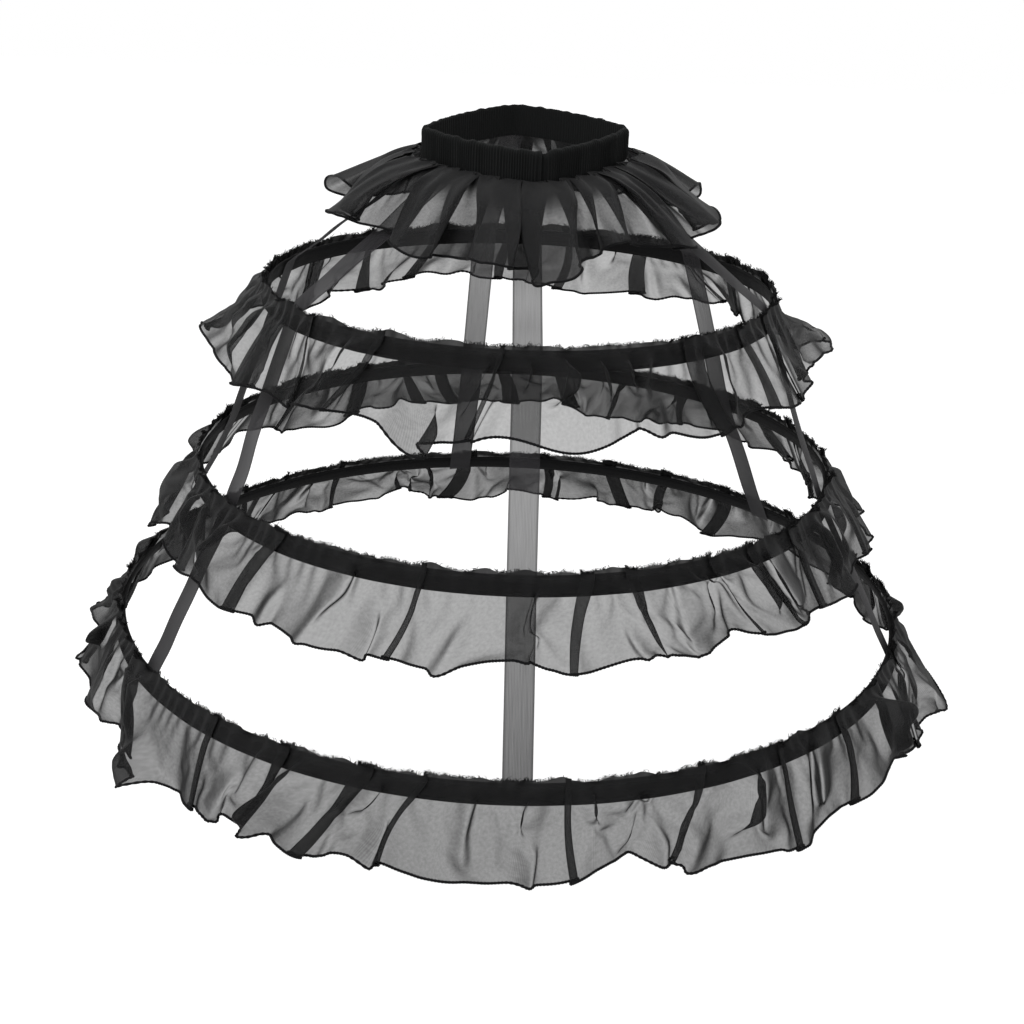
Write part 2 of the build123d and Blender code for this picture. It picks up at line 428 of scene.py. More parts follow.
class Strip:
    """Columns of a pleated strip: places along the path and stand-offs at every row."""

    def __init__(self, path, rows, pleats, bulge, random):
        self.rows = rows
        self.share = np.clip(rows / rows[-1], 0, 1)
        self.walks, self.stands, self.pressed = [], [], []
        for pleat, after in zip(pleats, pleats[1:] + pleats[:1]):
            lap = path.length if after is pleats[0] else 0.0
            self.add_panel(pleat, after, lap, bulge, random)
            self.add_fold(after, lap)
        self.walks, self.stands = np.array(self.walks), np.array(self.stands)
        self.pressed = np.array(self.pressed)
        self.lifts = np.zeros_like(self.walks)

    def add_panel(self, pleat, after, lap, bulge, random):
        """The single layer from one pleat's last edge to the next pleat's first edge."""
        middle, width = pleat.spread(self.share)
        next_middle, next_width = after.spread(self.share)
        start = middle - width / 2
        length = next_middle + lap + next_width / 2 - start
        free = length - width - next_width
        count = max(6, round(float(np.mean(length)) / CLOTH_STEP))
        swell = random.uniform(*bulge) * min(1.0, float(np.mean(length)) / PANEL_FULL_LENGTH)
        lopsided = random.uniform(*PANEL_LOPSIDED)
        ridge_count = round(max(0.0, float(np.mean(free))) / RIDGE_SPACING)
        ridges = [Ridge(self.share, width, free, random) for _ in range(ridge_count)]
        last = length - next_width
        for number in range(count):
            reach = number / count
            gone = length * reach
            stand = pleat.last_stand * (1 - smoothstep(width, width + PLEAT_EASE, gone))
            stand = stand + after.first_stand * smoothstep(last - PLEAT_EASE, last, gone)
            stand = stand + swell * math.sin(math.pi * reach**lopsided) ** 2 * self.share**1.3
            sway = np.zeros_like(stand)
            for ridge in ridges:
                stand = stand + ridge.height * ridge.crest(gone)
                sway = sway + ridge.sway * ridge.crest(gone)
            self.walks.append(start + gone + sway)
            self.stands.append(stand)
            self.pressed.append((gone < width) | (gone > last))

    def add_fold(self, pleat, lap):
        """The layer of a pleat that runs back."""
        middle, width = pleat.spread(self.share)
        count = max(3, round(float(np.mean(width)) / (FOLD_STEP_SHARE * CLOTH_STEP)))
        for number in range(count):
            reach = number / count
            stand = pleat.first_stand + (pleat.last_stand - pleat.first_stand) * reach
            self.walks.append(middle + lap + width * (0.5 - reach))
            self.stands.append(np.full_like(width, stand))
            self.pressed.append(np.full(len(width), True))


class FlutedStrip:
    """Columns of a strip that winds in deep soft flutes, each with its own size, overlap and lean."""

    def __init__(self, path, rows, flutes, random):
        self.rows = rows
        self.share = np.clip(rows / rows[-1], 0, 1)
        sizes = random.uniform(*FLUTE_SIZES, flutes)
        sizes = sizes / sum(sizes) * path.length
        self.walks, self.stands, self.lifts = [], [], []
        for start, size in zip(np.cumsum(sizes) - sizes, sizes):
            hem_overlap = random.uniform(*FLUTE_HEM_OVERLAPS)
            overlap = FLUTE_SEAM_OVERLAP + (hem_overlap - FLUTE_SEAM_OVERLAP) * self.share
            reach = random.uniform(*FLUTE_REACHES)
            lean = size * random.uniform(-FLUTE_LEAN_SHARE, FLUTE_LEAN_SHARE)
            bow = size * random.uniform(-FLUTE_BOW_SHARE, FLUTE_BOW_SHARE) * np.sin(math.pi * self.share)
            puff_height = random.uniform(*FLUTE_PUFFS)
            puff_power = random.uniform(*FLUTE_PUFF_POWERS)
            puff = puff_height * np.sin(math.pi * self.share**puff_power) ** 2
            lift = random.uniform(*FLUTE_LIFTS) * self.share**2
            crimp_columns = random.uniform(*CRIMP_COLUMNS)
            crimp_depth = CRIMP_DEPTH * (1 - smoothstep(0.05, random.uniform(*CRIMP_ENDS), self.share))
            count = round((HEM_SPREAD * size + 2 * reach) * FLUTE_COLUMNS / CLOTH_STEP)
            for number in range(count):
                turn = number / count
                rise = (1 - math.cos(2 * math.pi * turn)) / 2
                wound = turn + overlap * math.sin(4 * math.pi * turn) / (4 * math.pi)
                self.walks.append(start + size * wound + lean * rise * self.share + bow * rise)
                stand = FLUTE_SEAM_REACH + (reach - FLUTE_SEAM_REACH) * self.share**0.8 + puff
                crimp = 0.5 + 0.5 * math.sin(2 * math.pi * len(self.stands) / crimp_columns)
                self.stands.append(rise * stand + crimp * crimp_depth)
                self.lifts.append(rise * lift)
        self.walks, self.stands = np.array(self.walks), np.array(self.stands)
        self.lifts = np.array(self.lifts)
        self.pressed = np.zeros(self.walks.shape, dtype=bool)


def flute_lift(walk, length, flutes):
    """How far the uneven flutes of a hoop's ruffle stand out at its hem."""
    turns = np.mod(walk / length, 1) * flutes
    unevenness = (1 + np.sin(FLUTE_UNEVEN_BEAT * np.floor(turns))) / 2
    return RUFFLE_SWELL * (1 - np.cos(2 * math.pi * turns)) / 2 * (1 - FLUTE_UNEVEN_SHARE * unevenness)


def gathered_strip(name, strip, place, waves, material):
    """A closed strip of gathered cloth. place turns a row, walks, stand-offs and drops into points, and waves
    hold the strip's gathers, flutes, droop, hem and heading."""
    columns, rows = strip.walks.shape
    gather = (1 - smoothstep(*GATHER_ROWS, strip.rows)) * waves["gather_depth"]
    vertices = np.empty((columns, rows, 3))
    for row in range(rows):
        walk = strip.walks[:, row]
        share = strip.share[row]
        rounded = (0.5 + 0.5 * np.sin(waves["gathers"](walk))) ** 1.5
        droop = waves["droop"](walk) * share**1.6
        stand = strip.stands[:, row] + gather[row] * rounded + waves["flutes"](walk) * share**1.3 - droop
        drop = HEM_DEPTH * share * waves["hem"](walk) + 0.5 * droop - strip.lifts[:, row]
        if strip.rows[row] < 0:
            drop = drop + strip.rows[row] * HEADING_UNEVEN_SHARE * waves["heading"](walk)
        vertices[:, row] = place(row, walk, stand, drop)
    piece = mesh_object(name, vertices.reshape(-1, 3), grid_faces(columns, rows, True), material)
    middle_row = vertices[:, rows // 2]
    steps = np.linalg.norm(np.roll(middle_row, -1, axis=0) - middle_row, axis=1)
    strip.flat_length = float(np.sum(steps))
    set_cloth_map(piece, np.repeat(np.cumsum(steps), rows), np.tile(strip.rows, columns))
    return piece


def hoop_place(path, out, up):
    """Places of a strip that hangs from a level ring."""

    def place(row, walk, stand, drop):
        points, away = path.at(walk)
        points = points + away * (out[row] + stand)[:, None]
        points[:, 2] += up[row] - drop
        return points

    return place


def waist_place(path, shares):
    """Places of a strip that flares from the dipping waist seam to a round hem."""

    def place(row, walk, stand, drop):
        seam, away = path.at(walk)
        azimuth = np.arctan2(seam[:, 0], -seam[:, 1])
        seam[:, 2] = WAIST_LAP - BAND_HEIGHT
        hem = polar(np.full_like(azimuth, WAIST_HEM_RADIUS), azimuth)
        hem[:, 2] = -WAIST_HEM_DROP
        seam, hem = dipped(seam), dipped(hem, WAIST_HEM_DIP)
        points = seam + (hem - seam) * shares[row]
        radial = unit(polar(np.ones_like(azimuth), azimuth))
        outward = unit(away * (1 - shares[row]) + radial * shares[row])
        points = points + outward * stand[:, None]
        points[:, 2] += WAIST_PUFF * math.sin(math.pi * shares[row]) - drop
        return points

    return place


class NodeTree:
    """The node tree of a material or world, with short ways to add nodes. Each returns a socket."""

    def __init__(self, owner):
        owner.use_nodes = True
        self.nodes = owner.node_tree.nodes
        self.links = owner.node_tree.links

    def feed(self, target, value):
        """Set an input to a number, or link a socket to it."""
        if isinstance(value, (int, float)):
            target.default_value = value
        else:
            self.links.new(value, target)

    def math(self, operation, *values):
        """A Math node fed by sockets or numbers."""
        node = self.nodes.new("ShaderNodeMath")
        node.operation = operation
        for target, value in zip(node.inputs, values):
            self.feed(target, value)
        return node.outputs[0]

    def map_range(self, *values):
        """A Map Range node fed by a value, its two limits and their two results."""
        node = self.nodes.new("ShaderNodeMapRange")
        for label, value in zip(("Value", "From Min", "From Max", "To Min", "To Max"), values):
            self.feed(node.inputs[label], value)
        return node.outputs["Result"]

    def threads(self, cloth, direction, scale):
        """Fine threads along one direction of the flat cloth."""
        wave = self.nodes.new("ShaderNodeTexWave")
        wave.bands_direction = direction
        wave.inputs["Scale"].default_value = scale
        wave.inputs["Distortion"].default_value = 1.2
        wave.inputs["Detail Scale"].default_value = 2
        self.links.new(cloth, wave.inputs["Vector"])
        return wave.outputs["Fac"]

    def noise(self, place, scale, detail):
        """Uneven density at a place."""
        noise = self.nodes.new("ShaderNodeTexNoise")
        noise.inputs["Scale"].default_value = scale
        noise.inputs["Detail"].default_value = detail
        self.links.new(place, noise.inputs["Vector"])
        return noise.outputs["Fac"]

    def object_noise(self, scale, detail):
        """Uneven density over an object."""
        return self.noise(self.nodes.new("ShaderNodeTexCoord").outputs["Object"], scale, detail)

    def split(self, vector, axis):
        """One part of a vector."""
        parts = self.nodes.new("ShaderNodeSeparateXYZ")
        self.links.new(vector, parts.inputs[0])
        return parts.outputs[axis]

    def bump(self, shader, height, strength, distance):
        """Relief of a shader from a height."""
        bump = self.nodes.new("ShaderNodeBump")
        bump.inputs["Strength"].default_value = strength
        bump.inputs["Distance"].default_value = distance
        self.links.new(height, bump.inputs["Height"])
        self.links.new(bump.outputs[0], shader.inputs["Normal"])


def principled(name, colour, roughness, sheen=0.0, specular=0.2):
    """A new material, with its node tree and its Principled node."""
    material = bpy.data.materials.new(name)
    tree = NodeTree(material)
    shader = tree.nodes["Principled BSDF"]
    shader.inputs["Base Color"].default_value = (*colour, 1)
    shader.inputs["Roughness"].default_value = roughness
    shader.inputs["Sheen Weight"].default_value = sheen
    shader.inputs["Specular IOR Level"].default_value = specular
    return material, tree, shader


def sheer_start(name, colour):
    """The start of a sheer material, with its flat-cloth coordinates."""
    material, tree, shader = principled(name, colour, 0.6, 0.03, 0.12)
    cloth = tree.nodes.new("ShaderNodeUVMap")
    cloth.uv_map = "cloth"
    return material, tree, shader, cloth.outputs[0]


def pass_light(tree, shader, open_share):
    """Set the alpha of a sheer cloth: less light passes where it is seen on the slant."""
    facing = tree.nodes.new("ShaderNodeLayerWeight")
    facing.inputs["Blend"].default_value = 0.5
    square_on = tree.math("SUBTRACT", 1.0, facing.outputs["Facing"])
    depth = tree.math("DIVIDE", 1.0, tree.math("MAXIMUM", square_on, 0.1))
    through = tree.math("POWER", open_share, depth)
    tree.links.new(tree.math("SUBTRACT", 1.0, through), shader.inputs["Alpha"])


# Looks of the sheer cloths: how fine and how strong their unevenness is, and its mean, which is taken off
WEAVE_SCALE = 420
WEAVE_SHARE = 0.10
MOTTLE_SCALE = 380
MOTTLE_SHARE = 0.16
WEAVE_MEAN = 0.105
PACKED_SHARE = 0.12
THREAD_SCALE = 260
THREAD_SHARE = 0.05
STREAK_SCALE = 700
STREAK_STRETCH = (1, 0.04, 1)
STREAK_SHARE = 0.10
STREAK_MEAN = 0.075
SELVEDGE_INSETS = (0.0022, 0.0010)
SELVEDGE_SHARE = 0.55


def sheer_material(name, colour, passed, packed_from, packed_to):
    """Crisp sheer cloth: a square weave of fine uneven threads, packed close along its stitching; on the
    waist frill that packed band is also painted shade.
    """
    material, tree, shader, cloth = sheer_start(name, colour)
    weave = tree.math("MULTIPLY", *[tree.threads(cloth, way, WEAVE_SCALE) for way in "XY"])
    mottle = tree.math("MULTIPLY", tree.noise(cloth, MOTTLE_SCALE, 3), MOTTLE_SHARE)
    open_share = tree.math("ADD", tree.math("MULTIPLY", weave, WEAVE_SHARE), mottle)
    open_share = tree.math("ADD", open_share, passed - WEAVE_MEAN)
    packed = tree.map_range(tree.split(cloth, "Y"), packed_from, packed_to, PACKED_SHARE, 1.0)
    pass_light(tree, shader, tree.math("MULTIPLY", open_share, packed))
    tree.bump(shader, weave, 0.25, 0.0004)
    return material


def ribbon_material(name, colour, length, passed_top, passed_bottom):
    """Sheer ribbon with lengthwise threads and closer selvedges, passing less light towards its lower end,
    which paints its upper end lighter as the light from above would.
    """
    material, tree, shader, cloth = sheer_start(name, colour)
    # Painted light: more light passes at the ribbon's top than at its foot, a gradient that stands in for the
    # light falling on it from above.
    passed = tree.map_range(tree.split(cloth, "Y"), 0, length, passed_top, passed_bottom)
    threads = tree.math("MULTIPLY", tree.threads(cloth, "X", THREAD_SCALE), THREAD_SHARE)
    stretched = tree.nodes.new("ShaderNodeMapping")
    stretched.inputs["Scale"].default_value = STREAK_STRETCH
    tree.links.new(cloth, stretched.inputs["Vector"])
    streaks = tree.math("MULTIPLY", tree.noise(stretched.outputs[0], STREAK_SCALE, 2), STREAK_SHARE)
    uneven = tree.math("ADD", tree.math("ADD", threads, streaks), -STREAK_MEAN)
    half_width = RIBBON_WIDTH / 2
    from_middle = tree.math("ABSOLUTE", tree.math("SUBTRACT", tree.split(cloth, "X"), half_width))
    edges = [half_width - inset for inset in SELVEDGE_INSETS]
    selvedge = tree.map_range(from_middle, *edges, 1.0, SELVEDGE_SHARE)
    open_share = tree.math("MULTIPLY", tree.math("ADD", passed, uneven), selvedge)
    pass_light(tree, shader, open_share)
    tree.bump(shader, threads, 0.3, 0.003)
    return material


def tape_material(name, colour, grain):
    """Close-woven matt tape, band cloth or thread."""
    material, tree, shader = principled(name, colour, 0.9, 0.04, 0.06)
    ribs = tree.object_noise(grain, 4)
    shade = tree.nodes.new("ShaderNodeValToRGB")
    for element, share in zip(shade.color_ramp.elements, (0.6, 1.5)):
        element.color = (*[share * part for part in colour], 1)
    tree.links.new(ribs, shade.inputs["Fac"])
    tree.links.new(shade.outputs["Color"], shader.inputs["Base Color"])
    tree.bump(shader, ribs, 0.5, 0.0005)
    return material


def plain_material(name, colour, roughness, metallic):
    """Smooth boning or metal with faint handling marks."""
    material, tree, shader = principled(name, colour, roughness, 0.0, 0.5)
    shader.inputs["Metallic"].default_value = metallic
    marks = tree.object_noise(120, 3)
    worn = tree.map_range(marks, 0.3, 0.7, roughness - 0.08, roughness + 0.1)
    tree.links.new(worn, shader.inputs["Roughness"])
    return material


RIBBON_LENGTH = 0.54
SHEER_COLOUR = (0.008, 0.008, 0.0083)
# How much light each ruffle passes: the upper ones pass more and render lighter, painted light that stands in
# for the light falling from above
SHEER_PASSED = {"top_hoop": 0.42, "middle_hoop": 0.33, "bottom_hoop": 0.27}
HOOP_PACKED_ROWS = (-0.001, 0.004)
WAIST_COLOUR = (0.010, 0.010, 0.0104)
WAIST_PASSED = 0.28
# Rows below the waist seam over which its nearly opaque packed band opens out: partly the close gathers at
# the seam, and deepened as painted shade for the shaded inside of the frill's top.
WAIST_PACKED_SHADE_ROWS = (0.017, 0.041)
sheers = {}
for hoop_name, passed in SHEER_PASSED.items():
    sheers[hoop_name] = sheer_material(f"{hoop_name}_sheer_cloth", SHEER_COLOUR, passed, *HOOP_PACKED_ROWS)
waist_sheer = sheer_material("black_gathered_sheer_cloth", WAIST_COLOUR, WAIST_PASSED, *WAIST_PACKED_SHADE_ROWS)
ribbon_sheer = ribbon_material("black_sheer_ribbon", (0.024, 0.023, 0.025), RIBBON_LENGTH, 0.42, 0.13)
tape = tape_material("black_tape", (0.0072, 0.0072, 0.0075), 900)
band_cloth = tape_material("black_band_cloth", (0.009, 0.0095, 0.0095), 1400)
thread = tape_material("black_thread", (0.008, 0.008, 0.0085), 2200)
boning = plain_material("white_boning", (0.72, 0.72, 0.70), 0.4, 0.0)
sleeve_metal = plain_material("plated_sleeve", (0.60, 0.60, 0.61), 0.35, 1.0)
elastic = tape_material("black_elastic", (0.012, 0.012, 0.012), 1100)

# Ruffles of the hoops
HOOP_ROWS = np.linspace(-HEADING, CASING_HEIGHT / 2 + STITCH_RISE + FREE_LENGTH, 21)
HOOP_BULGE = (-0.003, 0.004)
# A side where the ruffle flares: azimuth, half width, and how far it stands out at the hem
FLARES = {"top_hoop": (math.radians(-88), math.radians(32), 0.018)}


def flare_wave(hoop, path):
    """How far a flare lifts a hoop's ruffle, as a negative droop."""
    azimuth, half_width, reach = FLARES.get(hoop.name, (0.0, 1.0, 0.0))
    middle, half = path.length * azimuth / (2 * math.pi), path.length * half_width / (2 * math.pi)

    def wave(walk):
        away = np.abs((walk - middle + path.length / 2) % path.length - path.length / 2)
        return -reach * (1 - smoothstep(0, half, away))

    return wave


frills = {}
strips = {}
for number, hoop in enumerate(hoops):
    random = np.random.default_rng(431 + number)
    seam_radius, seam_height = hoop.side_point(CASING_THICKNESS / 2 + FRILL_GAP, -STITCH_RISE)
    path = ClosedPath(lambda azimuth: np.full_like(azimuth, seam_radius))
    free_lean = math.radians(FREE_LEANS[hoop.name])
    out, up = profile(HOOP_ROWS, hoop.slope, free_lean)
    strip = Strip(path, HOOP_ROWS, hoop_pleats(hoop, path, random), HOOP_BULGE, random)
    uneven = wander(random, path.length, 0.05, 0.16)
    turns = round(path.length / GATHER_PITCH) * 2 * math.pi / path.length
    flutes = round(2 * math.pi * hoop.radius / RUFFLE_PITCH)
    strip.heading = wander(random, path.length, 0.03, 0.09)
    waves = {
        "gathers": lambda walk: turns * walk + GATHER_UNEVEN * uneven(walk),
        "gather_depth": GATHER_DEPTH,
        "flutes": lambda walk: flute_lift(walk, path.length, flutes),
        "droop": flare_wave(hoop, path),
        "hem": wander(random, path.length, 0.10, 0.35),
        "heading": strip.heading,
    }
    name = f"{hoop.name}_frill"
    place = hoop_place(path, out, up + seam_height)
    frills[name] = gathered_strip(name, strip, place, waves, sheers[hoop.name])
    strips[name] = strip
    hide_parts(f"{hoop.name}_ruffle")

# Ruffle of the waist
WAIST_ROWS = np.linspace(0.0, WAIST_LENGTH, 24)


def waist_seam_radius(azimuth):
    """Radius of the waist ruffle's seam, outside the band's."""
    return waist_radius(azimuth) + WAIST_SEAM_GAP


random = np.random.default_rng(77)
waist_path = ClosedPath(waist_seam_radius, WAIST_FAN_SHARE, 2 * CORNER_SHARE)
waist_strip = FlutedStrip(waist_path, WAIST_ROWS, WAIST_FLUTES, random)
waist_uneven = wander(random, waist_path.length, 0.04, 0.12)
waist_turns = round(waist_path.length / WAIST_GATHER_PITCH) * 2 * math.pi / waist_path.length
waist_droop = wander(random, waist_path.length, 0.05, 0.16)
waist_waves = {
    "gathers": lambda walk: waist_turns * walk + WAIST_GATHER_UNEVEN * waist_uneven(walk),
    "gather_depth": WAIST_GATHER_DEPTH,
    "flutes": np.zeros_like,
    "droop": lambda walk: WAIST_DROOP * waist_droop(walk),
    "hem": wander(random, waist_path.length, 0.04, 0.16),
}
frills["waist_frill"] = gathered_strip(
    "waist_frill", waist_strip, waist_place(waist_path, waist_strip.share), waist_waves, waist_sheer
)
strips["waist_frill"] = waist_strip
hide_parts("waist_ruffle")


def ribbon_place(hoop, downward):
    """Radius and height of a flat ribbon's middle, with its edges against a casing's inner face."""
    edge_radius, height = hoop.side_point(-CASING_THICKNESS / 2 - SEWN_GAP, downward)
    return math.sqrt(edge_radius**2 - (RIBBON_WIDTH / 2) ** 2), height


def ribbon_line(azimuth):
    """Middle points of a ribbon from the waist seam to the bottom hoop, and its crosswise directions."""
    angle = np.array([azimuth])
    near = np.array([azimuth - 0.02, azimuth + 0.02])
    seam = polar(waist_radius(angle, BAND_THICKNESS / 2), angle)
    seam[:, 2] = -BAND_HEIGHT
    across = np.diff(polar(waist_radius(near), near), axis=0)
    points, crosswise = [dipped(seam)[0]], [dipped(across)[0]]
    for hoop in hoops:
        for downward in (-CASING_HEIGHT / 2, CASING_HEIGHT / 2):
            radius, height = ribbon_place(hoop, downward)
            points.append((radius * math.sin(azimuth), -radius * math.cos(azimuth), height))
            crosswise.append((math.cos(azimuth), math.sin(azimuth), 0))
    return np.array(points), unit(np.array(crosswise))


def collider(piece):
    """Let the cloth rest against a passing object while it settles."""
    piece.modifiers.new("Collision", "COLLISION")
    piece.collision.thickness_outer = 0.0006
    piece.collision.thickness_inner = 0.002
    piece.collision.cloth_friction = 8
    return piece


COLLIDER_COLUMNS = 180


def casing_section():
    """Outward and downward places round a casing's section, from its upper inner edge outwards."""
    half_height, half_depth = CASING_HEIGHT / 2, CASING_THICKNESS / 2
    return (
        (-half_depth, -half_height),
        (half_depth, -half_height),
        (half_depth, half_height),
        (-half_depth, half_height),
    )


def ring_of_section(hoop, section, azimuth):
    """Points of a section carried round a hoop, down each column in turn."""
    rings = []
    for outward, downward in section:
        radius, height = hoop.side_point(outward, downward)
        ring = polar(np.full_like(azimuth, radius), azimuth)
        ring[:, 2] = height
        rings.append(ring)
    return np.stack(rings, axis=1)


def casing_collider(hoop):
    """The casing's section carried round the hoop."""
    azimuth = np.linspace(0, 2 * math.pi, COLLIDER_COLUMNS + 1)[:-1]
    return collider(tube("casing_rest", ring_of_section(hoop, casing_section(), azimuth), tape))


def ribbon_collider(azimuth):
    """A ribbon as a flat strip that faces out."""
    points, crosswise = ribbon_line(azimuth)
    half = crosswise * RIBBON_WIDTH / 2
    sides = np.stack([points + half, points - half], axis=1)
    faces = grid_faces(len(points), 2, False)
    return collider(mesh_object("ribbon_rest", sides.reshape(-1, 3), faces, tape))


# How the strips settle: the rows between which they are sewn, their share of gravity, the share of spare
# cloth, how stiff they are to bend, and whether their own layers touch
HOOP_SETTLING = {"sewn": (-0.0025, 0.012), "gravity": 0.12, "spare": 0.02, "bending": 1.0, "touching": True}
WAIST_SETTLING = {"sewn": (-0.001, 0.005), "gravity": 0.15, "spare": 0.0, "bending": 0.4, "touching": False}
PRESSED_WEIGHT = 0.12
PIN_STIFFNESS = 20
SETTLE_FRAMES = 16


def coordinates(mesh):
    """Vertex places of a mesh in one flat array."""
    places = np.empty(3 * len(mesh.vertices), dtype=np.float32)
    mesh.vertices.foreach_get("co", places)
    return places


def settle(frames):
    """Let the pleated strips relax, held along their stitching and stiffer where a pleat is pressed, with a
    little spare cloth that wrinkles."""
    rests = [casing_collider(hoop) for hoop in hoops]
    rests += [ribbon_collider(math.radians(azimuth)) for azimuth in RIBBON_AZIMUTHS.values()]
    scene = bpy.context.scene
    scene.frame_start, scene.frame_end = 1, frames
    for name, piece in frills.items():
        strip = strips[name]
        how = WAIST_SETTLING if name == "waist_frill" else HOOP_SETTLING
        held = piece.vertex_groups.new(name="stitching")
        held.add(np.nonzero(strip.pressed.ravel())[0].tolist(), PRESSED_WEIGHT, "REPLACE")
        low, high = how["sewn"]
        sewn = np.tile((strip.rows > low) & (strip.rows < high), len(strip.walks))
        held.add(np.nonzero(sewn)[0].tolist(), 1.0, "REPLACE")
        cloth = piece.modifiers.new("Cloth", "CLOTH")
        cloth.point_cache.frame_start, cloth.point_cache.frame_end = 1, frames
        settings = cloth.settings
        settings.vertex_group_mass = "stitching"
        settings.pin_stiffness = PIN_STIFFNESS
        settings.quality = 6
        settings.mass = 0.02
        settings.air_damping = 3
        settings.tension_stiffness = settings.compression_stiffness = 14
        settings.shear_stiffness = 4
        settings.bending_stiffness = how["bending"]
        settings.tension_damping = settings.compression_damping = 8
        settings.bending_damping = 0.5
        settings.shrink_min = -how["spare"]
        settings.effector_weights.gravity = how["gravity"]
        contact = cloth.collision_settings
        contact.collision_quality = 4
        contact.distance_min = 0.0006
        contact.use_self_collision = how["touching"]
        contact.self_distance_min = 0.0009
        contact.self_friction = 20
    for number in range(1, frames + 1):
        scene.frame_set(number)
    graph = bpy.context.evaluated_depsgraph_get()
    settled = {name: coordinates(piece.evaluated_get(graph).data) for name, piece in frills.items()}
    for name, piece in frills.items():
        piece.modifiers.clear()
        piece.vertex_groups.clear()
        piece.data.vertices.foreach_set("co", settled[name])
        piece.data.update()
    for rest in rests:
        bpy.data.objects.remove(rest)
    scene.frame_set(1)


settle(SETTLE_FRAMES)


def strip_points(name):
    """Points of a settled strip by column and row."""
    places = coordinates(frills[name].data)
    return places.reshape(*strips[name].walks.shape, 3).astype(float)


def rounded_line(points, cuts):
    """A closed line finer than its control points, rounded in the way that the smoothed cloth is."""
    before, after, later = (np.roll(points, shift, axis=0) for shift in (1, -1, -2))
    parts = []
    for step in range(cuts):
        t = step / cuts
        weights = ((1 - t) ** 3, 3 * t**3 - 6 * t**2 + 4, 1 + 3 * t + 3 * t**2 - 3 * t**3, t**3)
        parts.append(sum(w * p for w, p in zip(weights, (before, points, after, later))) / 6)
    return np.stack(parts, axis=1).reshape(-1, 3)


HEM_RADIUS = 0.0012
HEM_SIDES = 5
HEM_CUTS = 3


def overlocked_hem(name, points):
    """Thread wrapped over a strip's lower edge, a bead at each stitch."""
    line = rounded_line(points[:, -1], HEM_CUTS)
    above = rounded_line(points[:, -2], HEM_CUTS)
    tangent = unit(np.roll(line, -1, axis=0) - np.roll(line, 1, axis=0))
    down = line - above
    down = unit(down - tangent * np.sum(down * tangent, axis=1, keepdims=True))
    side = np.cross(tangent, down)
    bead = HEM_RADIUS * (1 + 0.2 * np.cos(math.pi * np.arange(len(line))))
    rings = []
    for number in range(HEM_SIDES):
        angle = 2 * math.pi * number / HEM_SIDES
        rings.append(line + (math.cos(angle) * down + math.sin(angle) * side) * bead[:, None])
    return tube(name, np.stack(rings, axis=1), thread)


FRAY_RADIUS = 0.00032
FRAY_CUTS = 6
FRAY_LENGTHS = (0.0012, 0.0046)
FRAY_SWAY = 1.2
FRAY_LIFT = 0.5


def frayed_edge(name, points, heading, random):
    """Loose threads along a strip's raw upper edge, where it doesn't puff up."""
    edge = rounded_line(points[:, 0], FRAY_CUTS)
    below = rounded_line(points[:, 1], FRAY_CUTS)
    raw = 1 - 0.9 * smoothstep(0.1, 0.7, np.repeat(heading, FRAY_CUTS))
    vertices, faces = [], []
    for number in range(len(edge)):
        if random.uniform() > raw[number]:
            continue
        up = unit(edge[number] - below[number])
        along = unit(edge[(number + 1) % len(edge)] - edge[number])
        side = np.cross(up, along)
        reach = random.uniform(*FRAY_LENGTHS)
        sway = random.uniform(-FRAY_SWAY, FRAY_SWAY)
        lift = random.uniform(-FRAY_LIFT, FRAY_LIFT)
        base = len(vertices)
        for step in range(4):
            t = step / 3
            bend = up * (t - 0.35 * t * t) + along * sway * t * t + side * lift * t
            middle = edge[number] + reach * bend
            for corner in range(3):
                angle = 2 * math.pi * corner / 3
                vertices.append(middle + FRAY_RADIUS * (math.cos(angle) * along + math.sin(angle) * side))
        for step in range(3):
            for corner in range(3):
                after = (corner + 1) % 3
                start, end = base + 3 * step, base + 3 * step + 3
                faces.append((start + corner, start + after, end + after, end + corner))
    return mesh_object(name, vertices, faces, thread)


def ride_in(piece):
    """Fix a piece to the one body."""
    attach(piece, "root")


for name, frill in frills.items():
    points = strip_points(name)
    details = [overlocked_hem(f"{name}_hem", points)]
    if name != "waist_frill":
        heading = strips[name].heading(strips[name].walks[:, 0])
        details.append(frayed_edge(f"{name}_fray", points, heading, np.random.default_rng(len(points))))
    smooth = frill.modifiers.new("Smooth", "SUBSURF")
    smooth.levels = smooth.render_levels = 1
    for piece in (frill, *details):
        ride_in(piece)

# Tape casings: flat over the boning, thinner and stitched along both edges
TAPE_COLUMNS = 360
TAPE_PUCKER = 0.00025
TAPE_DOWNS = (-1.0, -0.93, -0.84, -0.76, -0.70, -0.55, -0.2, 0.2, 0.55, 0.70, 0.76, 0.84, 0.93, 1.0)
TAPE_DEPTHS = (0.30, 0.52, 0.58, 0.50, 0.72, 0.97, 1.0, 1.0, 0.97, 0.72, 0.50, 0.58, 0.52, 0.30)


def tape_section():
    """Outward and downward places round a sewn tape tunnel, outer face first."""
    depths = CASING_THICKNESS / 2 * np.array(TAPE_DEPTHS)
    downs = CASING_HEIGHT / 2 * np.array(TAPE_DOWNS)
    return list(zip(depths, downs)) + list(zip(-depths[::-1], downs[::-1]))


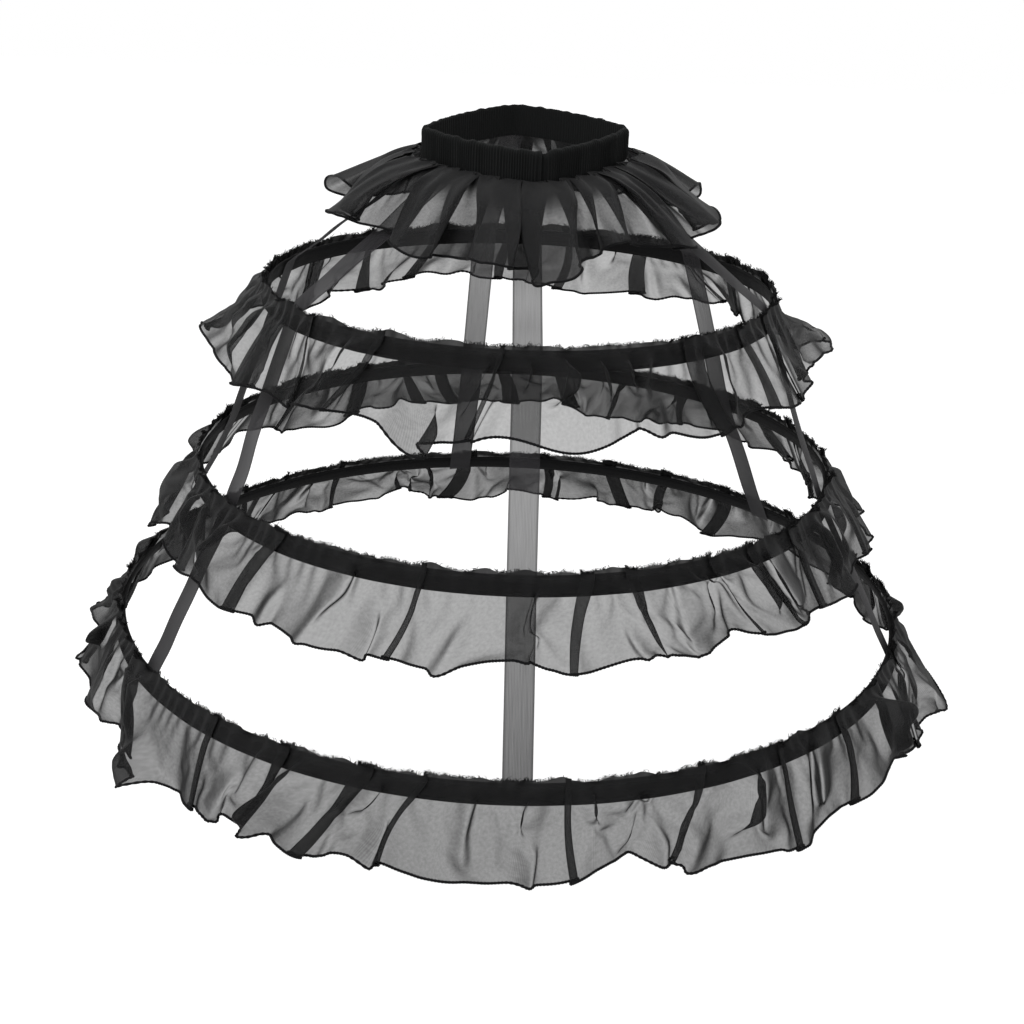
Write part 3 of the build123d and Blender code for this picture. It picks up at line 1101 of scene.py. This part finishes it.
for number, hoop in enumerate(hoops):
    random = np.random.default_rng(900 + number)
    azimuth = np.linspace(0, 2 * math.pi, TAPE_COLUMNS + 1)[:-1]
    vertices = ring_of_section(hoop, tape_section(), azimuth)
    pucker = wander(random, TAPE_COLUMNS, 6, 20)(np.arange(TAPE_COLUMNS)) * TAPE_PUCKER
    vertices[:, :, :2] += (unit(vertices[:, 0]) * pucker[:, None])[:, None, :2]
    casing = tube(f"{hoop.name}_tape", vertices, tape)
    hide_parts(f"{hoop.name}_casing")
    ride_in(casing)

# Ribbons: sheer strips, caught in the waist seam and sewn inside the casings
RIBBON_COLUMNS = 9
RIBBON_ROWS = 150
RIBBON_SLACK = 0.0008
RIBBON_CURL = 0.0006

for number, (label, degrees) in enumerate(RIBBON_AZIMUTHS.items()):
    random = np.random.default_rng(60 + number)
    points, crosswise = ribbon_line(math.radians(degrees))
    walked = np.concatenate([[0.0], np.cumsum(np.linalg.norm(np.diff(points, axis=0), axis=1))])
    along = np.linspace(0, walked[-1], RIBBON_ROWS)
    line = np.stack([np.interp(along, walked, points[:, axis]) for axis in range(3)], axis=1)
    cross = unit(np.stack([np.interp(along, walked, crosswise[:, axis]) for axis in range(3)], axis=1))
    away = unit(np.cross(np.gradient(line, axis=0), cross))
    sewn = np.min(np.abs(along[:, None] - walked[None, :]), axis=1)
    slack = RIBBON_SLACK * wander(random, walked[-1], 0.05, 0.25)(along) * smoothstep(0.0, 0.03, sewn)
    across = np.linspace(0, RIBBON_WIDTH, RIBBON_COLUMNS)
    curl = RIBBON_CURL * (2 * across / RIBBON_WIDTH - 1) ** 2
    grid = line[None] + cross[None] * (across - RIBBON_WIDTH / 2)[:, None, None]
    grid = grid + away[None] * (slack[None, :] - curl[:, None])[..., None]
    faces = grid_faces(RIBBON_COLUMNS, RIBBON_ROWS, False)
    ribbon = mesh_object(f"{label}_strip", grid.reshape(-1, 3), faces, ribbon_sheer)
    set_cloth_map(ribbon, np.repeat(across, RIBBON_ROWS), np.tile(along, RIBBON_COLUMNS))
    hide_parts(label)
    ride_in(ribbon)

# Waistband: a tunnel of finely shirred cloth with one joining seam
BAND_COLUMNS = 1320
BAND_RIB_PITCH = 0.0027
BAND_SEAM_AZIMUTH = math.radians(10.5)
BAND_OUTER_DOWNS = (1.0, 0.97, 0.90, 0.78, 0.64, 0.50, 0.36, 0.22, 0.12, 0.06, 0.02)
BAND_OUTER_RISES = (0.35, 0.75, 0.95, 1.0, 0.96, 1.0, 0.96, 1.0, 0.95, 0.75, 0.40)
BAND_INNER_DOWNS = (0.0, 0.03, 0.12, 0.35, 0.65, 0.90, 0.98)
BAND_STAND = 0.0006
BAND_EDGE_TUCK = 0.0012
BAND_FOLD_SHARE = 0.72
BAND_RIB_DEPTH = 0.0013
BAND_INNER_RIB_DEPTH = 0.0004
BAND_EDGE_WAVE = 0.0005
# The joining seam: a groove, one end's drop at the upper edge and the other end's lap, each with the
# distances from the seam between which it fades
BAND_GROOVE = 0.0016
BAND_GROOVE_FADE = (0.0006, 0.0022)
BAND_EDGE_DROP = 0.0036
BAND_EDGE_DROP_FADE = (0.0005, 0.016)
BAND_LAP = 0.0018
BAND_LAP_FADE = (0.003, 0.014)

random = np.random.default_rng(5)
band_path = ClosedPath(waist_radius)
walk = np.arange(BAND_COLUMNS) / BAND_COLUMNS * band_path.length
from_seam = (walk - band_path.walk_to(BAND_SEAM_AZIMUTH) + band_path.length / 2) % band_path.length
from_seam = from_seam - band_path.length / 2
seam_distance = np.abs(from_seam)
rib_uneven = wander(random, band_path.length, 0.02, 0.07)
rib_turns = round(band_path.length / BAND_RIB_PITCH) * 2 * math.pi / band_path.length
rib_sway = wander(random, band_path.length, 0.02, 0.06)
rib_depth = BAND_RIB_DEPTH * (1 + 0.35 * wander(random, band_path.length, 0.01, 0.05)(walk))
groove = BAND_GROOVE * (1 - smoothstep(*BAND_GROOVE_FADE, seam_distance))
edge_lift = BAND_EDGE_WAVE * wander(random, band_path.length, 0.006, 0.03)(walk)
edge_drop = np.where(from_seam > 0, BAND_EDGE_DROP, 0.0)
edge_lift = edge_lift - edge_drop * (1 - smoothstep(*BAND_EDGE_DROP_FADE, seam_distance))
lap = np.where(from_seam < 0, BAND_LAP, 0.0) * (1 - smoothstep(*BAND_LAP_FADE, seam_distance))
places, away = band_path.at(walk)


def rib_wave(down):
    """The shirring's ribs at a share of the way down, which sway a little."""
    phase = rib_turns * walk + 2.2 * rib_uneven(walk) + 1.6 * rib_sway(walk) * math.sin(2.5 * down)
    return (0.5 + 0.5 * np.sin(phase)) ** 0.8


band_rows = []
for down, rise in zip(BAND_OUTER_DOWNS, BAND_OUTER_RISES):
    outer_stand = BAND_STAND + rib_depth * rib_wave(down) + lap - groove
    ring = places + away * (outer_stand * rise - BAND_EDGE_TUCK * (1 - rise))[:, None]
    ring[:, 2] += -BAND_HEIGHT * down + edge_lift * (1 - down)
    band_rows.append(ring)
for down in BAND_INNER_DOWNS:
    depth = BAND_THICKNESS * (BAND_FOLD_SHARE if down < 0.02 else 1.0)
    inset = depth - BAND_INNER_RIB_DEPTH * rib_wave(down)
    ring = places - away * inset[:, None]
    ring[:, 2] += -BAND_HEIGHT * down + edge_lift * (1 - down)
    band_rows.append(ring)
band = tube("waistband_cover", dipped(np.stack(band_rows[::-1], axis=1)), band_cloth)
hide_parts("waistband_casing")
ride_in(band)

# Materials of every solid
NODE_MATERIALS = {
    "waistband_casing": band_cloth,
    "waist_elastic": elastic,
    "waist_ruffle": waist_sheer,
    "casing": tape,
    "ruffle": sheers["middle_hoop"],
    "bone": boning,
    "sleeve": sleeve_metal,
}
for label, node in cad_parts.items():
    kind = label if label in NODE_MATERIALS else label.split("_")[-1]
    node.data.materials.clear()
    node.data.materials.append(ribbon_sheer if label in RIBBON_AZIMUTHS else NODE_MATERIALS[kind])

# Floor, light and camera
FLOOR_DROP = 0.45
FLOOR_REACH = 9
FLOOR_GLOW = 0.5
LIGHT_SHARE = 0.62
KEY_PLACE = (-0.9, -1.5, 1.7)
KEY_AIM = (0, 0, -0.25)
KEY_WATTS = 26
KEY_SIZE = 1.6


def looking(place, forward, right):
    """Placement of a light or camera that looks forward, with its right-hand direction."""
    turn = np.stack([right, np.cross(right, forward), -forward], axis=1)
    return Matrix.Translation(place) @ Matrix(turn.tolist()).to_4x4()


floor_material, tree, shader = principled("pale_floor", (0.93, 0.93, 0.93), 0.9)
shader.inputs["Emission Color"].default_value = (1, 1, 1, 1)
seen = tree.nodes.new("ShaderNodeLightPath").outputs["Is Camera Ray"]
tree.links.new(tree.math("MULTIPLY", seen, FLOOR_GLOW), shader.inputs["Emission Strength"])
grain = tree.object_noise(40, 3)
tree.links.new(tree.map_range(grain, 0.3, 0.7, 0.82, 0.95), shader.inputs["Roughness"])
floor_height = cad_box[0][2] - FLOOR_DROP
corners = [(FLOOR_REACH * x, FLOOR_REACH * y, floor_height) for x, y in ((-1, -1), (1, -1), (1, 1), (-1, 1))]
floor = mesh_object("floor", corners, [(0, 1, 2, 3)], floor_material)

world = bpy.data.worlds.new("studio")
bpy.context.scene.world = world
tree = NodeTree(world)
background = tree.nodes["Background"]
background.inputs["Color"].default_value = (1, 1, 1, 1)
rays = tree.nodes.new("ShaderNodeLightPath").outputs
looked_at = tree.math("MAXIMUM", rays["Is Camera Ray"], rays["Is Glossy Ray"])
looked_at = tree.math("MAXIMUM", looked_at, rays["Is Transmission Ray"])
tree.links.new(tree.map_range(looked_at, 0, 1, LIGHT_SHARE, 1.0), background.inputs["Strength"])

key_data = bpy.data.lights.new("soft_key", "AREA")
key_data.energy = KEY_WATTS
key_data.size = KEY_SIZE
key_forward = unit(np.array(KEY_AIM) - np.array(KEY_PLACE))
key_right = unit(np.cross(key_forward, [0, 0, 1]))
add_object("soft_key", key_data).matrix_world = looking(KEY_PLACE, key_forward, key_right)

camera_data = bpy.data.cameras.new("photo_view")
camera_data.sensor_width = SENSOR_MM
camera_data.lens = SENSOR_MM * FOCAL_PIXELS / IMAGE_PIXELS
camera = add_object("photo_view", camera_data)
bpy.context.scene.camera = camera
forward = np.array([0, math.cos(CAMERA_PITCH), -math.sin(CAMERA_PITCH)])
level_right = np.array([1, 0, 0])
level_up = np.cross(level_right, forward)
right = math.cos(CAMERA_ROLL) * level_right + math.sin(CAMERA_ROLL) * level_up
camera.matrix_world = looking(CAMERA_PLACE, forward, right)

bpy.context.scene.view_settings.view_transform = "Standard"
